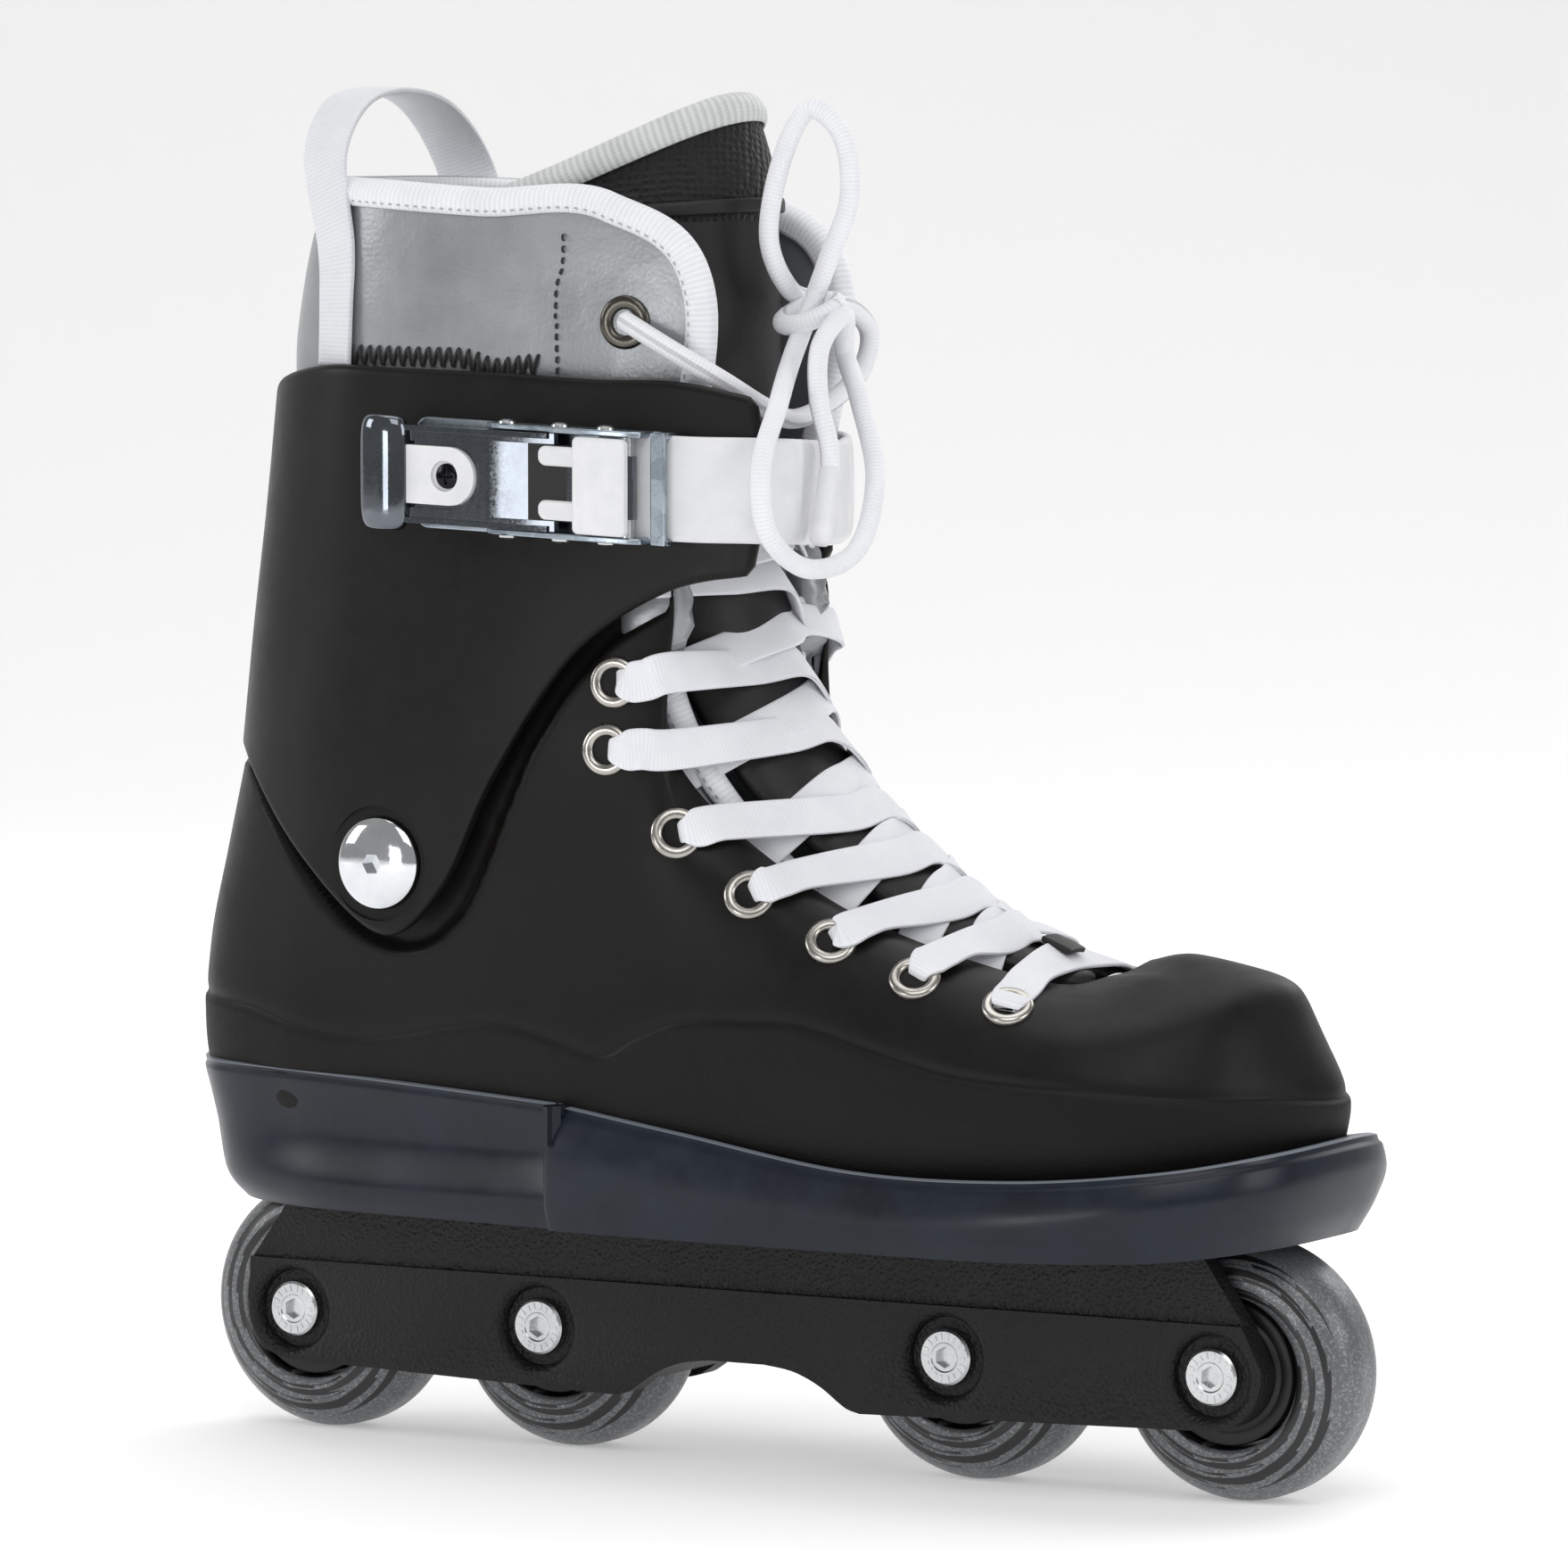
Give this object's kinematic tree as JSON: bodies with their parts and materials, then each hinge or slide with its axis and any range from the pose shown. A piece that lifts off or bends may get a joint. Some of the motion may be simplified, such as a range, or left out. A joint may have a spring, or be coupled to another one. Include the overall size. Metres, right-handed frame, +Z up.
{
  "type": "inline skate",
  "caption": "Aggressive inline skate for a right foot: lace-up shell boot with hinged cuff, ratchet strap, soft liner, soul plate, grind frame and ball-bearing wheels in a row.",
  "frame": {"origin": "on the floor under the wheels, below the centre of the bounding box of the skate without its loose lace", "axes": "+X forward towards the toe, +Y towards the inner side of the foot, +Z up"},
  "size_m": [0.304, 0.1166, 0.32],
  "materials": {
    "frame": "black glass-filled nylon, fine pebble grain",
    "soul_plate": "dark navy satin nylon",
    "boot_shell": "near-black matte moulded plastic",
    "liner": "silver-grey coated fabric over foam, white bound edge",
    "tongue": "black mesh over foam",
    "footbed": "black insole",
    "cuff": "near-black matte moulded plastic",
    "pivot_bolt": "polished dome head",
    "pivot_nut": "zinc plated",
    "frame_bolt": "zinc plated",
    "tyre": "grey cast urethane with metallic fleck",
    "wheel_core": "off-white nylon",
    "bearing_outer": "dark shielded bearing ring",
    "bearing_inner": "ground steel",
    "bearing_spacer": "turned aluminium",
    "axle": "nickel plated",
    "axle_screw": "nickel plated",
    "buckle_base": "galvanised steel",
    "buckle_pin": "steel rivet",
    "buckle_lever": "polished pressed steel",
    "buckle_grip": "light grey moulded plastic",
    "buckle_screw": "zinc plated",
    "buckle_nose": "light grey moulded plastic",
    "strap": "light grey flexible plastic",
    "strap_screw": "nickel plated",
    "pull_loop": "white woven webbing",
    "shell_lace": "white woven lace",
    "liner_lace": "white round lace"
  },
  "bodies": {
    "boot": {"frame": "frame", "soul_plate": "soul_plate", "boot_shell": "boot_shell", "liner": "liner", "tongue": "tongue", "footbed": "footbed", "pivot_bolt_outer": "pivot_bolt", "pivot_nut_outer": "pivot_nut", "pivot_bolt_inner": "pivot_bolt", "pivot_nut_inner": "pivot_nut", "frame_bolt_rear": "frame_bolt", "frame_bolt_front": "frame_bolt", "bearing_inner_a_1": "bearing_inner", "bearing_inner_b_1": "bearing_inner", "bearing_spacer_1": "bearing_spacer", "axle_1": "axle", "axle_screw_1": "axle_screw", "bearing_inner_a_2": "bearing_inner", "bearing_inner_b_2": "bearing_inner", "bearing_spacer_2": "bearing_spacer", "axle_2": "axle", "axle_screw_2": "axle_screw", "bearing_inner_a_3": "bearing_inner", "bearing_inner_b_3": "bearing_inner", "bearing_spacer_3": "bearing_spacer", "axle_3": "axle", "axle_screw_3": "axle_screw", "bearing_inner_a_4": "bearing_inner", "bearing_inner_b_4": "bearing_inner", "bearing_spacer_4": "bearing_spacer", "axle_4": "axle", "axle_screw_4": "axle_screw", "pull_loop": "pull_loop", "shell_lace": "shell_lace", "liner_lace": "liner_lace"},
    "wheel_1": {"tyre_1": "tyre", "wheel_core_1": "wheel_core", "bearing_outer_a_1": "bearing_outer", "bearing_outer_b_1": "bearing_outer"},
    "wheel_2": {"tyre_2": "tyre", "wheel_core_2": "wheel_core", "bearing_outer_a_2": "bearing_outer", "bearing_outer_b_2": "bearing_outer"},
    "wheel_3": {"tyre_3": "tyre", "wheel_core_3": "wheel_core", "bearing_outer_a_3": "bearing_outer", "bearing_outer_b_3": "bearing_outer"},
    "wheel_4": {"tyre_4": "tyre", "wheel_core_4": "wheel_core", "bearing_outer_a_4": "bearing_outer", "bearing_outer_b_4": "bearing_outer"},
    "cuff": {"cuff": "cuff", "buckle_base": "buckle_base", "buckle_pin": "buckle_pin", "strap": "strap", "strap_screw": "strap_screw"},
    "lever": {"buckle_lever": "buckle_lever", "buckle_grip": "buckle_grip", "buckle_screw": "buckle_screw", "buckle_nose": "buckle_nose"}
  },
  "joints": [
    {"name": "wheel_1_spin", "type": "hinge", "parent": "boot", "child": "wheel_1", "pos_m": [-0.121, 0.00454, 0.03], "axis": [0, 1, 0], "continuous": true},
    {"name": "wheel_2_spin", "type": "hinge", "parent": "boot", "child": "wheel_2", "pos_m": [-0.0535, 0.00454, 0.03], "axis": [0, 1, 0], "continuous": true},
    {"name": "wheel_3_spin", "type": "hinge", "parent": "boot", "child": "wheel_3", "pos_m": [0.0545, 0.00454, 0.03], "axis": [0, 1, 0], "continuous": true},
    {"name": "wheel_4_spin", "type": "hinge", "parent": "boot", "child": "wheel_4", "pos_m": [0.122, 0.00454, 0.03], "axis": [0, 1, 0], "continuous": true},
    {"name": "cuff_flex", "type": "hinge", "parent": "boot", "child": "cuff", "pos_m": [-0.0785, 0.00454, 0.14], "axis": [0, 1, 0], "range_deg": [-1, 5], "deforming": ["liner", "liner_lace"]},
    {"name": "lever_open", "type": "hinge", "parent": "cuff", "child": "lever", "pos_m": [-0.0075, -0.05196, 0.2285], "axis": [0, 0, 1], "range_deg": [0, 90]}
  ]
}
